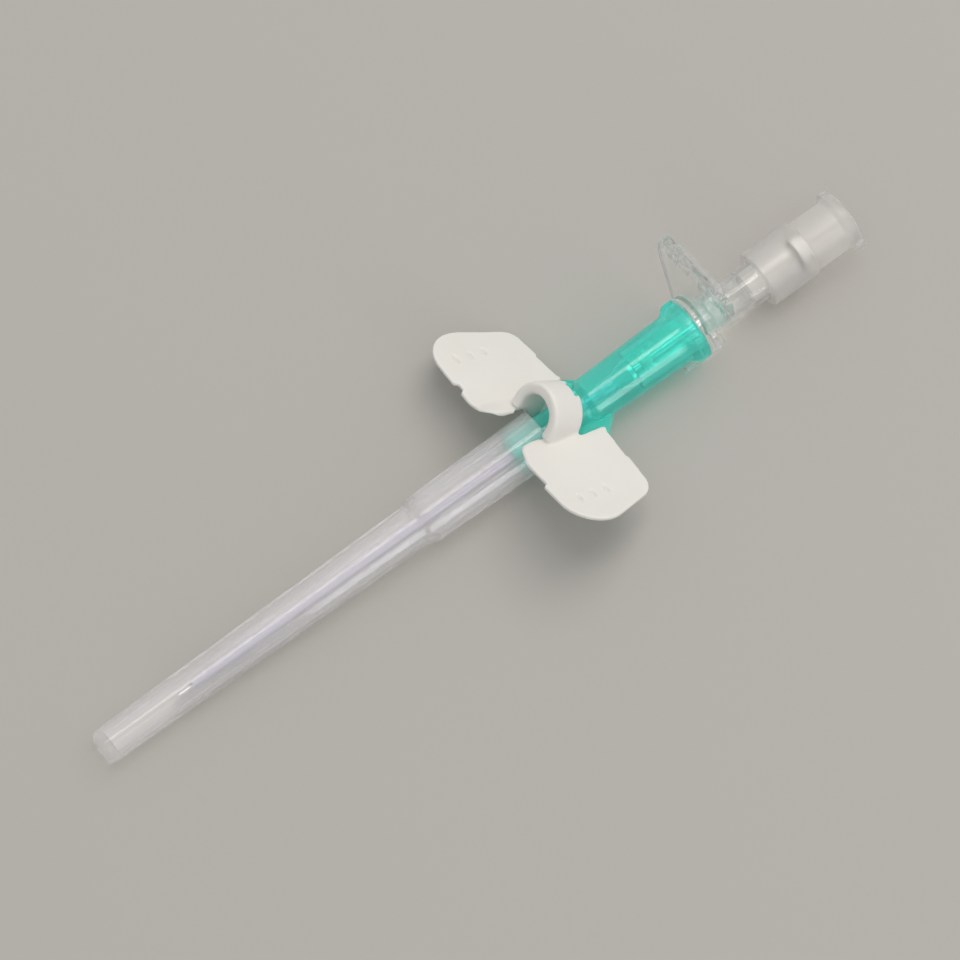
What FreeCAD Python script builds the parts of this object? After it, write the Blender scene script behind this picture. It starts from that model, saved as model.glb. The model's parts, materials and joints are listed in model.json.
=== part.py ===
"""Peripheral intravenous cannula, 18 gauge, with its needle, winged clip, cover and vented plug.

The long axis of the device is X. X = 0 is the mouth of the luer socket in the catheter hub,
-X points to the patient and +X to the plug. In the device's own frame the thumb plate points
up, along +Z, and the wings reach out along +Y and -Y. The finished pieces are then laid down
as the device lies on a table: on the cover's tip, on the flange of the needle hub and on the
rear corner of the +Y wing. All lengths are in millimetres and all angles in degrees.
"""

import FreeCAD, Part
import math
import os

import Sketcher

SIZES = (
    # catheter hub
    ("hub_length", 25.8, "mouth of the luer socket to the front of the nose"),
    ("barrel_length", 14.9, "mouth of the luer socket to the shoulder"),
    ("barrel_rear_radius", 3.2, "outer radius beside the rim"),
    ("barrel_front_radius", 2.85, "outer radius at the shoulder"),
    ("shoulder_length", 0.7, "slope from the barrel down to the waist"),
    ("waist_radius", 2.2, "outer radius under the clip"),
    ("nose_length", 4.3, "the nose that the cover grips"),
    ("nose_radius", 2.45, "outer radius of the nose"),
    ("nose_round", 0.7, "rounding of the nose"),
    ("rim_radius", 3.55, "outer radius of the rim"),
    ("rim_width", 0.7, "cylindrical width of the rim"),
    ("rim_slope", 1.2, "slope from the barrel up to the rim"),
    ("lug_reach", 4.0, "axis to the outside of a luer lug"),
    ("lug_sweep", 76.0, "angle that a luer lug takes up round the rim"),
    ("lug_length", 1.3, "length of a luer lug at its full height"),
    ("lug_slope", 1.1, "length of the slope in front of a luer lug"),
    ("luer_radius", 2.15, "radius of the luer socket at its mouth"),
    ("luer_slope", 0.03, "loss of radius for each millimetre of depth"),
    ("luer_depth", 8.6, "depth of the luer socket"),
    ("fin_slope", 0.6, "length of the slope at the front of a fin"),
    ("fin_sweep", 2.1, "length of the slope at the rear of a fin"),
    ("fin_reach", 4.6, "axis to the outside of a fin"),
    ("fin_front", 18.4, "mouth of the luer socket to the front of a fin"),
    ("fin_rear", 13.2, "mouth of the luer socket to the rear of a fin's root"),
    ("fin_thickness", 0.9, "thickness of a fin"),
    ("fin_drop", 0.75, "axis down to the middle of a fin"),
    # catheter tube and its eyelet
    ("tube_reach", 70.9, "mouth of the luer socket to the catheter's tip"),
    ("tube_radius", 0.65, "outer radius of the catheter"),
    ("tube_wall", 0.14, "wall of the catheter"),
    ("tube_tip_length", 3.0, "tapered length at the catheter's tip"),
    ("tube_tip_wall", 0.05, "wall at the very tip"),
    ("flare_start", 13.8, "mouth of the luer socket to the start of the tube's flare"),
    ("flare_length", 0.8, "length over which the tube opens on to the eyelet"),
    ("flare_grip", 1.7, "length of tube held on the eyelet"),
    ("eyelet_radius", 0.72, "outer radius of the eyelet's sleeve"),
    ("eyelet_wall", 0.12, "wall of the eyelet"),
    ("eyelet_flange", 1.35, "outer radius of the eyelet's funnel"),
    ("eyelet_rim", 0.5, "thickness of the eyelet's flange along the axis"),
    # needle
    ("needle_radius", 0.46, "outer radius of the needle"),
    ("needle_wall", 0.12, "wall of the needle"),
    ("needle_lead", 2.4, "length that the needle stands out of the catheter"),
    ("bevel_length", 2.9, "length of the ground bevel"),
    ("needle_seat", 3.0, "length of needle held behind the flange"),
    # needle hub
    ("spigot_chamfer", 0.35, "chamfer at the front of the spigot"),
    ("socket_run_out", 0.4, "length of luer socket beyond the plug's spigot"),
    ("spigot_front", 6.0, "mouth of the luer socket to the front of the needle hub"),
    ("spigot_step", 4.7, "mouth of the luer socket to the step on the spigot"),
    ("spigot_neck", 1.45, "radius of the spigot in front of its step"),
    ("flange_radius", 3.9, "outer radius of the flange"),
    ("flange_gap", 0.12, "gap between the rim and the flange"),
    ("flange_width", 1.5, "thickness of the flange"),
    ("chamber_radius", 2.5, "outer radius of the flash chamber"),
    ("chamber_bore", 1.8, "inner radius of the flash chamber"),
    ("chamber_start", 3.2, "mouth of the luer socket to the front of the flash space"),
    ("chamber_length", 14.0, "mouth of the luer socket to the rear of the flash chamber"),
    ("plate_top", 9.3, "axis to the top of the thumb plate"),
    ("plate_half_top", 6.66, "half width of the thumb plate at its top"),
    ("plate_half_root", 3.3, "half width of the thumb plate at its root"),
    ("plate_root", 2.15, "axis to the root of the thumb plate"),
    ("plate_front", 0.2, "mouth of the luer socket to the front face at the plate's root"),
    ("plate_lean", 0.26, "rearward lean of the plate for each millimetre of height"),
    ("plate_thickness", 0.95, "thickness of the thumb plate"),
    ("plate_corner", 0.8, "size of the plate's cut corners"),
    ("band_height", 2.0, "height of the thick band along the plate's top"),
    ("band_thickness", 1.15, "thickness of the band along the plate's top"),
    ("ledge_depth", 0.4, "ledge that stands out behind the band"),
    ("ledge_half", 4.4, "half width of that ledge"),
    ("ledge_height", 0.9, "height of that ledge"),
    ("cell_depth", 1.3, "depth of the cored cells in the band"),
    ("cell_wall", 0.16, "wall between a cell and the band's faces"),
    ("cell_rib", 0.3, "rib between two cells"),
    ("cell_start", 1.0, "middle of the plate to the first cell"),
    ("cell_first", 1.7, "width of the first cell"),
    ("cell_width", 0.8, "width of each of the other cells"),
    ("latch_angle", 34.0, "angle of a latch finger below the wings"),
    ("latch_reach", 3.2, "length of a latch finger in front of the socket's mouth"),
    ("latch_width", 1.7, "width of a latch finger"),
    ("latch_top", 3.95, "axis to the outside of a latch finger"),
    ("latch_chamfer", 0.3, "chamfer along the edges of a latch finger"),
    ("latch_drop", 0.35, "rim of the flange down to the top of a finger's root"),
    ("latch_root", 0.75, "length of the root behind the flange"),
    # vented plug and its filter
    ("plug_spigot", 6.1, "length of spigot inside the flash chamber"),
    ("plug_round", 0.25, "rounding of the plug's outer edges"),
    ("grip_slope", 0.6, "length of the slope in front of the plug's rim"),
    ("grip_lug_chamfer", 0.3, "chamfer along the edges of a lug on the plug"),
    ("plug_bore", 1.15, "radius of the vent bore"),
    ("skirt_radius", 3.6, "outer radius of the skirt"),
    ("skirt_overlap", 4.2, "length of skirt over the flash chamber"),
    ("skirt_rear", 2.3, "rear of the flash chamber to the rear of the skirt"),
    ("plug_web", 0.3, "gap between the flash chamber and the plug's web"),
    ("grip_length", 6.2, "length of the grip behind the skirt"),
    ("grip_radius", 3.28, "outer radius of the grip"),
    ("grip_rim_radius", 3.5, "outer radius of the rim at the plug's rear"),
    ("grip_rim_width", 1.1, "width of the rim at the plug's rear"),
    ("grip_lug_reach", 3.95, "axis to the outside of a lug on the plug"),
    ("grip_lug_width", 2.8, "width of a lug on the plug"),
    ("plug_turn", 26.0, "angle of the plug's lugs above the wings"),
    ("plug_socket", 5.8, "depth of the socket in the plug's rear"),
    ("filter_radius", 1.65, "radius of the filter"),
    ("filter_thickness", 1.5, "thickness of the filter"),
    # needle cover
    ("cover_length", 62.1, "tip to mouth of the cover"),
    ("cover_grip", 4.1, "length of nose inside the cover"),
    ("sleeve_length", 17.7, "length of the wide sleeve"),
    ("cover_tip_radius", 2.12, "outer radius at the tip"),
    ("cover_slim_radius", 2.65, "outer radius in front of the sleeve"),
    ("sleeve_front_radius", 3.08, "outer radius at the front of the sleeve"),
    ("sleeve_mouth_radius", 3.37, "outer radius at the mouth"),
    ("cover_wall", 0.7, "wall of the slim tube"),
    ("cover_end", 1.6, "thickness of the closed end"),
    ("cover_round", 0.9, "rounding of the closed end"),
    ("sleeve_bore_front", 2.62, "inner radius at the front of the sleeve"),
    ("sleeve_bore_mouth", 2.74, "inner radius at the mouth"),
    ("sleeve_step", 0.5, "slope between the slim tube and the sleeve"),
    ("rib_front", 2.0, "front of the sleeve to the front of its ribs"),
    ("rib_back", 0.6, "mouth of the cover back to the ends of its ribs"),
    ("rib_lead", 0.4, "length of the slope at either end of a rib"),
    ("rib_width", 0.35, "width of a rib inside the sleeve"),
    ("rib_count", 10, "ribs inside the sleeve"),
    ("gate_radius", 0.55, "radius of the gate mark in the closed end"),
    ("gate_depth", 0.3, "depth of the gate mark"),
    # winged clip
    ("clip_rise", 3.4, "axis up to the line about which the wings twist"),
    ("clip_back", 0.5, "that line in front of the cover's mouth, as a distance"),
    ("wing_pitch_root", 20.3, "nose-up pitch of a wing at its root"),
    ("wing_pitch_tip", 33.9, "nose-up pitch of a wing at its tip"),
    ("wing_thickness", 0.5, "thickness of a wing"),
    ("wing_front", 4.6, "twist line to the front edge of the outer part"),
    ("wing_front_inner", 4.1, "twist line to the front edge of the inner part"),
    ("wing_rear", 7.4, "twist line to the rear edge"),
    ("wing_inner", 2.2, "middle to the inner edge of a wing's front lobe"),
    ("wing_lobe", 3.1, "twist line to the front of that lobe"),
    ("wing_span", 18.1, "middle to the outer front corner before rounding"),
    ("wing_tip_rear", 14.1, "middle to the outer rear corner before rounding"),
    ("wing_round_front", 4.4, "rounding of the outer front corner"),
    ("wing_round_rear", 2.2, "rounding of the outer rear corner"),
    ("wing_round_lobe", 2.4, "rounding of the front lobe"),
    ("wing_round_inner", 1.2, "rounding of the front lobe's inner corner"),
    ("wing_round_small", 0.3, "rounding of the small corners"),
    ("wing_tab_length", 0.6, "width of the inner rear tab"),
    ("wing_tab", 4.1, "middle to the inner rear tab"),
    ("wing_root_rear", 3.9, "twist line to the rear of a wing's root"),
    ("notch_place", 8.3, "middle to the notch in the front edge"),
    ("notch_width", 1.3, "width of that notch"),
    ("notch_depth", 0.55, "depth of that notch"),
    ("step_place", 9.2, "middle to the step in the rear edge"),
    ("step_depth", 0.25, "depth of that step"),
    ("dimple_place", 12.25, "middle to the row of dimples"),
    ("dimple_first", 2.0, "twist line to the front dimple"),
    ("dimple_pitch", 1.95, "distance from one dimple to the next"),
    ("dimple_length", 1.3, "length of a dimple"),
    ("dimple_width", 0.5, "width of a dimple"),
    ("dimple_depth", 0.22, "depth of a dimple"),
    ("collar_rise", 4.84, "axis up to the middle of the collar's front"),
    ("collar_pitch", 45.0, "nose-up pitch of the collar"),
    ("collar_bore", 2.3, "inner radius of the collar"),
    ("collar_wall", 1.45, "wall of the collar"),
    ("collar_length", 4.7, "length of the collar"),
    ("collar_foot", 1.25, "collar's middle to the foot of its front"),
    ("collar_round", 0.35, "rounding of the collar's ends"),
    ("collar_toe", 1.75, "length of the collar's legs at their front feet"),
    ("collar_leg", 2.9, "collar's middle to the end of its legs"),
    ("collar_notch_width", 2.3, "width of the notch in the collar's rear"),
    ("collar_notch_depth", 0.9, "depth of that notch"),
    # fits
    ("bite", 0.4, "depth by which joined features run into each other"),
    ("over_cut", 1.0, "length by which a cut runs past the material"),
    ("luer_gap", 0.04, "gap between a luer cone and its socket"),
    ("slide_gap", 0.05, "gap between the cover's ribs and the nose"),
    ("bond_gap", 0.01, "gap filled by adhesive or by the wedged tube"),
    ("needle_gap", 0.03, "gap between the needle and the catheter"),
    ("latch_gap", 0.15, "gap round a latch finger"),
)

ORIGIN = (-1, 1)
SKETCH_AXES = (-1, -2)


class Bound:
    """A number together with the sheet expression that it comes from."""

    def __init__(self, number, text):
        self.number = float(number)
        self.text = text

    @staticmethod
    def of(value):
        """Takes a bound number as it is, and a plain number as a constant."""
        return value if isinstance(value, Bound) else Bound(value, repr(float(value)))

    def _join(self, sign, number, other):
        return Bound(number, f"({self.text} {sign} {other.text})")

    def __add__(self, other):
        other = Bound.of(other)
        return self._join("+", self.number + other.number, other)

    def __sub__(self, other):
        other = Bound.of(other)
        return self._join("-", self.number - other.number, other)

    def __mul__(self, other):
        other = Bound.of(other)
        return self._join("*", self.number * other.number, other)

    def __truediv__(self, other):
        other = Bound.of(other)
        return self._join("/", self.number / other.number, other)

    def __radd__(self, other):
        return Bound.of(other) + self

    def __rsub__(self, other):
        return Bound.of(other) - self

    def __rmul__(self, other):
        return Bound.of(other) * self

    def __neg__(self):
        return Bound(-self.number, f"(-1 * {self.text})")


class Sizes:
    """The driving dimensions, kept in a sheet and read back as bound numbers."""

    def __init__(self, document, rows):
        self.sheet = document.addObject("Spreadsheet::Sheet", "Sizes")
        for number, (alias, value, meaning) in enumerate(rows, start=1):
            self.sheet.set(f"A{number}", alias)
            self.sheet.set(f"B{number}", str(value))
            self.sheet.set(f"C{number}", meaning)
            self.sheet.setAlias(f"B{number}", alias)
        document.recompute()

    def __getattr__(self, alias):
        return Bound(self.sheet.get(alias), f"Sizes.{alias}")


doc = FreeCAD.newDocument("iv_cannula")
size = Sizes(doc, SIZES)


def bind(item, path, value):
    """Ties one property or constraint of an object to the sheet."""
    item.setExpression(path, Bound.of(value).text)


def vector(x=0.0, y=0.0, z=0.0):
    """A point or direction from plain or bound numbers."""
    return FreeCAD.Vector(Bound.of(x).number, Bound.of(y).number, Bound.of(z).number)


def hold(sketch, point, x, y):
    """Holds a point of a sketch at two bound distances from the sketch's origin."""
    x_axis, y_axis = SKETCH_AXES
    for kind, axis, value in (("DistanceX", y_axis, x), ("DistanceY", x_axis, y)):
        value = Bound.of(value)
        if value.number == 0.0:
            sketch.addConstraint(Sketcher.Constraint("PointOnObject", *point, axis))
            continue
        index = sketch.addConstraint(Sketcher.Constraint(kind, *ORIGIN, *point, value.number))
        bind(sketch, f"Constraints[{index}]", value)


def outline(sketch, points):
    """Draws a closed figure of straight lines with every corner held by the sheet."""
    first = sketch.GeometryCount
    spots = [vector(x, y) for x, y in points]
    for here, after in zip(spots, spots[1:] + spots[:1]):
        sketch.addGeometry(Part.LineSegment(here, after), False)
    for step, (x, y) in enumerate(points):
        after = first + (step + 1) % len(points)
        sketch.addConstraint(Sketcher.Constraint("Coincident", first + step, 2, after, 1))
        hold(sketch, (first + step, 1), x, y)


def mirrored_outline(sketch, points):
    """Draws a figure and its mirror image across the sketch's X axis."""
    outline(sketch, points)
    outline(sketch, [(x, -Bound.of(y)) for x, y in points])


def new_body(name):
    """Starts the body of one sub-part."""
    body = doc.addObject("PartDesign::Body", name)
    body.Label = name
    return body


def sketch_on(body, role, name, away=0.0, turn=0.0):
    """Adds a sketch on one of the body's origin planes, shifted along and turned about its normal."""
    sketch = body.newObject("Sketcher::SketchObject", name)
    plane = next(item for item in body.Origin.OriginFeatures if item.Role == role)
    sketch.AttachmentSupport = [(plane, "")]
    sketch.MapMode = "FlatFace"
    turned = FreeCAD.Rotation(vector(0, 0, 1), Bound.of(turn).number)
    sketch.AttachmentOffset = FreeCAD.Placement(vector(0, 0, away), turned)
    bind(sketch, ".AttachmentOffset.Base.z", away)
    bind(sketch, ".AttachmentOffset.Rotation.Angle", turn)
    return sketch


def revolve(body, points):
    """Turns a profile of (x, radius) points about the X axis."""
    sketch = sketch_on(body, "XY_Plane", f"{body.Name}_profile")
    outline(sketch, points)
    turned = body.newObject("PartDesign::Revolution", f"{body.Name}_turned")
    turned.Profile = sketch
    turned.ReferenceAxis = (sketch, ["H_Axis"])
    turned.Angle = 360
    doc.recompute()
    return turned


def pad(body, sketch, length, both_ways=False, backwards=False):
    """Adds material from a sketch."""
    raised = body.newObject("PartDesign::Pad", f"{sketch.Name}_pad")
    raised.Profile = sketch
    raised.Midplane = both_ways
    raised.Reversed = backwards
    raised.Length = Bound.of(length).number
    bind(raised, "Length", length)
    doc.recompute()
    return raised


def pocket(body, sketch, length, both_ways=False, backwards=False):
    """Cuts material away along a sketch, and makes sure that something was cut."""
    before = body.Shape.Volume
    cut = body.newObject("PartDesign::Pocket", f"{sketch.Name}_cut")
    cut.Profile = sketch
    cut.Midplane = both_ways
    cut.Reversed = backwards
    cut.Length = Bound.of(length).number
    bind(cut, "Length", length)
    doc.recompute()
    if not body.Shape.Volume < before:
        raise RuntimeError(f"{cut.Name} removed nothing")
    return cut


def round_circles(body, spots, radius):
    """Rounds the circular edges that pass through the given (x, radius) points."""
    base = body.Tip
    wanted = [(Bound.of(x).number, Bound.of(away).number) for x, away in spots]
    names = []
    for number, edge in enumerate(base.Shape.Edges, start=1):
        if not isinstance(edge.Curve, Part.Circle):
            continue
        here = (edge.Curve.Center.x, edge.Curve.Radius)
        if any(math.dist(here, spot) < 1e-4 for spot in wanted):
            names.append(f"Edge{number}")
    rounded = body.newObject("PartDesign::Fillet", f"{body.Name}_round_{len(body.Group)}")
    rounded.Base = (base, names)
    rounded.Radius = Bound.of(radius).number
    bind(rounded, "Radius", radius)
    doc.recompute()
    return rounded


def luer(radius, depth):
    """Radius of a luer cone at a depth behind the place where it has the given radius."""
    return radius - size.luer_slope * depth


def make_catheter_hub():
    """Green hub: nose, waist, shoulder with fins, barrel, and rim with luer lugs."""
    body = new_body("catheter_hub")
    nose_front = -size.hub_length
    nose_rear = nose_front + size.nose_length
    shoulder = -size.barrel_length
    tube_hole = size.tube_radius + size.bond_gap
    grip_hole = size.eyelet_radius + size.tube_wall + size.bond_gap
    flare_end = -size.flare_start + size.flare_length
    grip_end = flare_end + size.flare_grip
    funnel_hole = size.eyelet_flange + size.bond_gap
    funnel_front = -(size.luer_depth + size.eyelet_rim)
    revolve(body, [
        (nose_front, tube_hole),
        (nose_front, size.nose_radius),
        (nose_rear, size.nose_radius),
        (nose_rear, size.waist_radius),
        (shoulder - size.shoulder_length, size.waist_radius),
        (shoulder, size.barrel_front_radius),
        (-(size.rim_width + size.rim_slope), size.barrel_rear_radius),
        (-size.rim_width, size.rim_radius),
        (0, size.rim_radius),
        (0, size.luer_radius),
        (-size.luer_depth, luer(size.luer_radius, size.luer_depth)),
        (-size.luer_depth, funnel_hole),
        (funnel_front, funnel_hole),
        (grip_end, grip_hole),
        (flare_end, grip_hole),
        (-size.flare_start, tube_hole),
    ])
    round_circles(body, [(nose_front, size.nose_radius)], size.nose_round)
    root = size.waist_radius - size.bite
    fins = sketch_on(body, "XY_Plane", "hub_fins", away=-size.fin_drop)
    mirrored_outline(fins, [
        (-size.fin_front, root),
        (-size.fin_front, size.barrel_front_radius),
        (-(size.fin_front - size.fin_slope), size.fin_reach),
        (-(size.fin_rear + size.fin_sweep), size.fin_reach),
        (-size.fin_rear, size.barrel_front_radius - size.bite / 2),
        (-size.fin_rear, root),
    ])
    pad(body, fins, size.fin_thickness, both_ways=True)
    lug = sketch_on(body, "XY_Plane", "hub_lug")
    outline(lug, [
        (-(size.lug_length + size.lug_slope), size.barrel_rear_radius - size.bite),
        (-(size.lug_length + size.lug_slope), size.barrel_rear_radius - size.bite / 4),
        (-size.lug_length, size.lug_reach),
        (0, size.lug_reach),
        (0, size.barrel_rear_radius - size.bite),
    ])
    sector = body.newObject("PartDesign::Revolution", "hub_lug_sector")
    sector.Profile = lug
    sector.ReferenceAxis = (lug, ["H_Axis"])
    sector.Midplane = True
    sector.Angle = size.lug_sweep.number
    bind(sector, "Angle", size.lug_sweep)
    pair = body.newObject("PartDesign::PolarPattern", "hub_lugs")
    pair.Originals = [sector]
    pair.Axis = (lug, ["H_Axis"])
    pair.Angle = 360
    pair.Occurrences = 2
    body.Tip = pair
    doc.recompute()
    for name, turn in (("near", 180 + size.latch_angle), ("far", -size.latch_angle)):
        slot = sketch_on(body, "YZ_Plane", f"hub_latch_slot_{name}", turn=turn)
        half = size.latch_width / 2 + size.latch_gap
        outline(slot, [
            (size.barrel_rear_radius, -half),
            (size.lug_reach + size.over_cut, -half),
            (size.lug_reach + size.over_cut, half),
            (size.barrel_rear_radius, half),
        ])
        pocket(body, slot, size.lug_length + size.lug_slope + size.rim_slope)
    return body


def make_catheter_tube():
    """Clear catheter: tapered tip, long thin tube, and the flare wedged on to the eyelet."""
    body = new_body("catheter_tube")
    tip = -size.tube_reach
    bore = size.tube_radius - size.tube_wall
    tip_bore = size.needle_radius + size.needle_gap
    flare_end = -size.flare_start + size.flare_length
    grip_end = flare_end + size.flare_grip
    revolve(body, [
        (tip, tip_bore),
        (tip, tip_bore + size.tube_tip_wall),
        (tip + size.tube_tip_length, size.tube_radius),
        (-size.flare_start, size.tube_radius),
        (flare_end, size.eyelet_radius + size.tube_wall),
        (grip_end, size.eyelet_radius + size.tube_wall),
        (grip_end, size.eyelet_radius),
        (flare_end, size.eyelet_radius),
        (-size.flare_start, bore),
        (tip + size.tube_tip_length / 2, bore),
    ])
    return body


def make_catheter_eyelet():
    """Metal eyelet: a sleeve inside the tube's flare and a funnel at the bottom of the socket."""
    body = new_body("catheter_eyelet")
    front = -size.flare_start + size.flare_length
    grip_end = front + size.flare_grip
    seat = -(size.luer_depth + size.eyelet_rim)
    bore = size.eyelet_radius - size.eyelet_wall
    revolve(body, [
        (front, bore),
        (front, size.eyelet_radius),
        (grip_end, size.eyelet_radius),
        (seat, size.eyelet_flange),
        (-size.luer_depth, size.eyelet_flange),
        (-size.luer_depth, size.eyelet_flange - size.eyelet_wall),
        (seat, size.eyelet_flange - 2 * size.eyelet_wall),
        (grip_end, bore),
    ])
    return body


def needle_tip():
    """Place of the needle's point on the axis."""
    return -(size.tube_reach + size.needle_lead)


def needle_end():
    """Place of the needle's blunt end, inside the needle hub."""
    return size.flange_gap + size.needle_seat


def make_needle():
    """Hollow steel needle with a bevel ground on its upper side."""
    body = new_body("needle")
    tip = needle_tip()
    bore = size.needle_radius - size.needle_wall
    revolve(body, [
        (tip, bore),
        (tip, size.needle_radius),
        (needle_end(), size.needle_radius),
        (needle_end(), bore),
    ])
    bevel = sketch_on(body, "XZ_Plane", "needle_bevel")
    outline(bevel, [
        (tip, -size.needle_radius),
        (tip + size.bevel_length, size.needle_radius),
        (tip + size.bevel_length, 2 * size.needle_radius),
        (tip - size.needle_radius, 2 * size.needle_radius),
        (tip - size.needle_radius, -size.needle_radius),
    ])
    pocket(body, bevel, 4 * size.needle_radius, both_ways=True)
    return body


def plate_face(height):
    """Place along the axis of the thumb plate's front face at a height above the axis."""
    return size.plate_front + size.plate_lean * (height - size.plate_root)


def make_needle_hub():
    """Clear hub: spigot in the luer socket, flange, thumb plate, latch fingers, flash chamber."""
    body = new_body("needle_hub")
    flange_front = size.flange_gap
    flange_rear = flange_front + size.flange_width
    hole = size.needle_radius + size.bond_gap
    spigot = size.luer_radius - size.luer_gap
    rear = size.chamber_length
    socket_depth = size.plug_spigot + size.socket_run_out
    socket_start = rear - socket_depth
    shoulder = size.plate_top - size.band_height
    profile = sketch_on(body, "XZ_Plane", "thumb_profile")
    outline(profile, [
        (plate_face(size.plate_root), size.plate_root),
        (plate_face(size.plate_top), size.plate_top),
        (plate_face(size.plate_top) + size.band_thickness, size.plate_top),
        (plate_face(shoulder) + size.band_thickness, shoulder),
        (plate_face(shoulder) + size.plate_thickness, shoulder - size.bite / 2),
        (plate_face(size.plate_root) + size.plate_thickness, size.plate_root),
    ])
    pad(body, profile, 2 * size.plate_half_top, both_ways=True)
    band_rear = plate_face(size.plate_top) + size.band_thickness
    fan = sketch_on(body, "YZ_Plane", "thumb_fan")
    corner = size.plate_corner
    for side in (1, -1):
        outline(fan, [
            (side * size.plate_half_root, size.plate_root - size.over_cut),
            (side * size.plate_half_root, size.plate_root),
            (side * size.plate_half_top, shoulder),
            (side * (size.plate_half_top + size.over_cut), shoulder),
            (side * (size.plate_half_top + size.over_cut), size.plate_root - size.over_cut),
        ])
        outline(fan, [
            (side * (size.plate_half_top + size.over_cut), size.plate_top - corner),
            (side * size.plate_half_top, size.plate_top - corner),
            (side * (size.plate_half_top - 0.3 * corner), size.plate_top - 0.3 * corner),
            (side * (size.plate_half_top - corner), size.plate_top),
            (side * (size.plate_half_top - corner), size.plate_top + size.over_cut),
            (side * (size.plate_half_top + size.over_cut), size.plate_top + size.over_cut),
        ])
    pocket(body, fan, band_rear + size.over_cut, backwards=True)
    ledge = sketch_on(body, "XY_Plane", "thumb_ledge", away=size.plate_top)
    ledge_end = size.ledge_half - size.ledge_depth
    outline(ledge, [
        (band_rear - size.cell_wall, size.ledge_half),
        (band_rear, size.ledge_half),
        (band_rear + size.ledge_depth, ledge_end),
        (band_rear + size.ledge_depth, -ledge_end),
        (band_rear, -size.ledge_half),
        (band_rear - size.cell_wall, -size.ledge_half),
    ])
    pad(body, ledge, size.ledge_height, backwards=True)
    cells = sketch_on(body, "XY_Plane", "thumb_cells", away=size.plate_top)
    front = plate_face(size.plate_top) + size.cell_wall
    back = band_rear - size.cell_wall
    start = size.cell_start
    for width in (size.cell_first, size.cell_width, size.cell_width, size.cell_width):
        end = start + width
        mirrored_outline(cells, [(front, start), (back, start), (back, end), (front, end)])
        start = end + size.cell_rib
    cored = pocket(body, cells, size.cell_depth)
    cored.UseCustomVector = True
    cored.Direction = vector(-size.plate_lean, 0, -1)
    doc.recompute()
    revolve(body, [
        (-size.spigot_front, hole),
        (-size.spigot_front, size.spigot_neck - size.spigot_chamfer),
        (-(size.spigot_front - size.spigot_chamfer), size.spigot_neck),
        (-size.spigot_step, size.spigot_neck),
        (-size.spigot_step, luer(spigot, size.spigot_step)),
        (flange_front, luer(spigot, -flange_front)),
        (flange_front, size.flange_radius),
        (flange_rear, size.flange_radius),
        (flange_rear, size.chamber_radius),
        (rear, size.chamber_radius),
        (rear, size.luer_radius),
        (socket_start, luer(size.luer_radius, socket_depth)),
        (socket_start, size.chamber_bore),
        (size.chamber_start, size.chamber_bore),
        (needle_end(), hole),
    ])
    inside = size.barrel_rear_radius + size.latch_gap
    half = size.latch_width / 2
    for name, turn in (("near", 180 + size.latch_angle), ("far", -size.latch_angle)):
        finger = sketch_on(body, "YZ_Plane", f"latch_{name}", away=-size.latch_reach, turn=turn)
        outline(finger, [
            (inside, -half),
            (size.latch_top - size.latch_chamfer / 2, -half),
            (size.latch_top, size.latch_chamfer - half),
            (size.latch_top, half - size.latch_chamfer),
            (size.latch_top - size.latch_chamfer / 2, half),
            (inside, half),
        ])
        pad(body, finger, size.latch_reach + flange_rear)
        root = sketch_on(body, "YZ_Plane", f"latch_root_{name}", away=flange_front, turn=turn)
        outline(root, [
            (size.chamber_radius - size.bite / 2, -half),
            (size.flange_radius - size.latch_drop, -half),
            (size.flange_radius - size.latch_drop, half),
            (size.chamber_radius - size.bite / 2, half),
        ])
        pad(body, root, size.flange_width + size.latch_root)
    return body


def plug_stations():
    """Places along the axis: spigot's front, skirt's front, web, skirt's rear and plug's rear."""
    rear = size.chamber_length
    skirt_rear = rear + size.skirt_rear
    return (
        rear - size.plug_spigot,
        rear - size.skirt_overlap,
        rear + size.plug_web,
        skirt_rear,
        skirt_rear + size.grip_length,
    )


def make_vent_plug():
    """Frosted plug: luer spigot inside a skirt, then a grip with a lugged rim and a rear socket."""
    body = new_body("vent_plug")
    spigot_front, skirt_front, web, skirt_rear, plug_rear = plug_stations()
    socket_end = plug_rear - size.plug_socket
    seat_front = socket_end - size.filter_thickness
    spigot = size.luer_radius - size.luer_gap
    skirt_bore = size.chamber_radius + size.latch_gap
    grip_rim = plug_rear - size.grip_rim_width
    revolve(body, [
        (spigot_front, size.plug_bore),
        (spigot_front, luer(spigot, size.plug_spigot)),
        (web, luer(spigot, -size.plug_web)),
        (web, skirt_bore),
        (skirt_front, skirt_bore),
        (skirt_front, size.skirt_radius),
        (skirt_rear, size.skirt_radius),
        (skirt_rear, size.grip_radius),
        (grip_rim - size.grip_slope, size.grip_radius),
        (grip_rim, size.grip_rim_radius),
        (plug_rear, size.grip_rim_radius),
        (plug_rear, size.luer_radius),
        (socket_end, luer(size.luer_radius, size.plug_socket)),
        (socket_end, size.filter_radius),
        (seat_front, size.filter_radius),
        (seat_front, size.plug_bore),
    ])
    round_circles(body, [
        (skirt_front, size.skirt_radius),
        (skirt_rear, size.skirt_radius),
        (plug_rear, size.grip_rim_radius),
    ], size.plug_round)
    lugs = sketch_on(body, "YZ_Plane", "plug_lugs", away=plug_rear, turn=size.plug_turn)
    for side in (1, -1):
        outline(lugs, [
            (side * (size.grip_radius - size.bite), -size.grip_lug_width / 2),
            (side * (size.grip_lug_reach - size.grip_lug_chamfer), -size.grip_lug_width / 2),
            (side * size.grip_lug_reach, -size.grip_lug_width / 4),
            (side * size.grip_lug_reach, size.grip_lug_width / 4),
            (side * (size.grip_lug_reach - size.grip_lug_chamfer), size.grip_lug_width / 2),
            (side * (size.grip_radius - size.bite), size.grip_lug_width / 2),
        ])
    pad(body, lugs, size.grip_rim_width, backwards=True)
    return body


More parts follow.
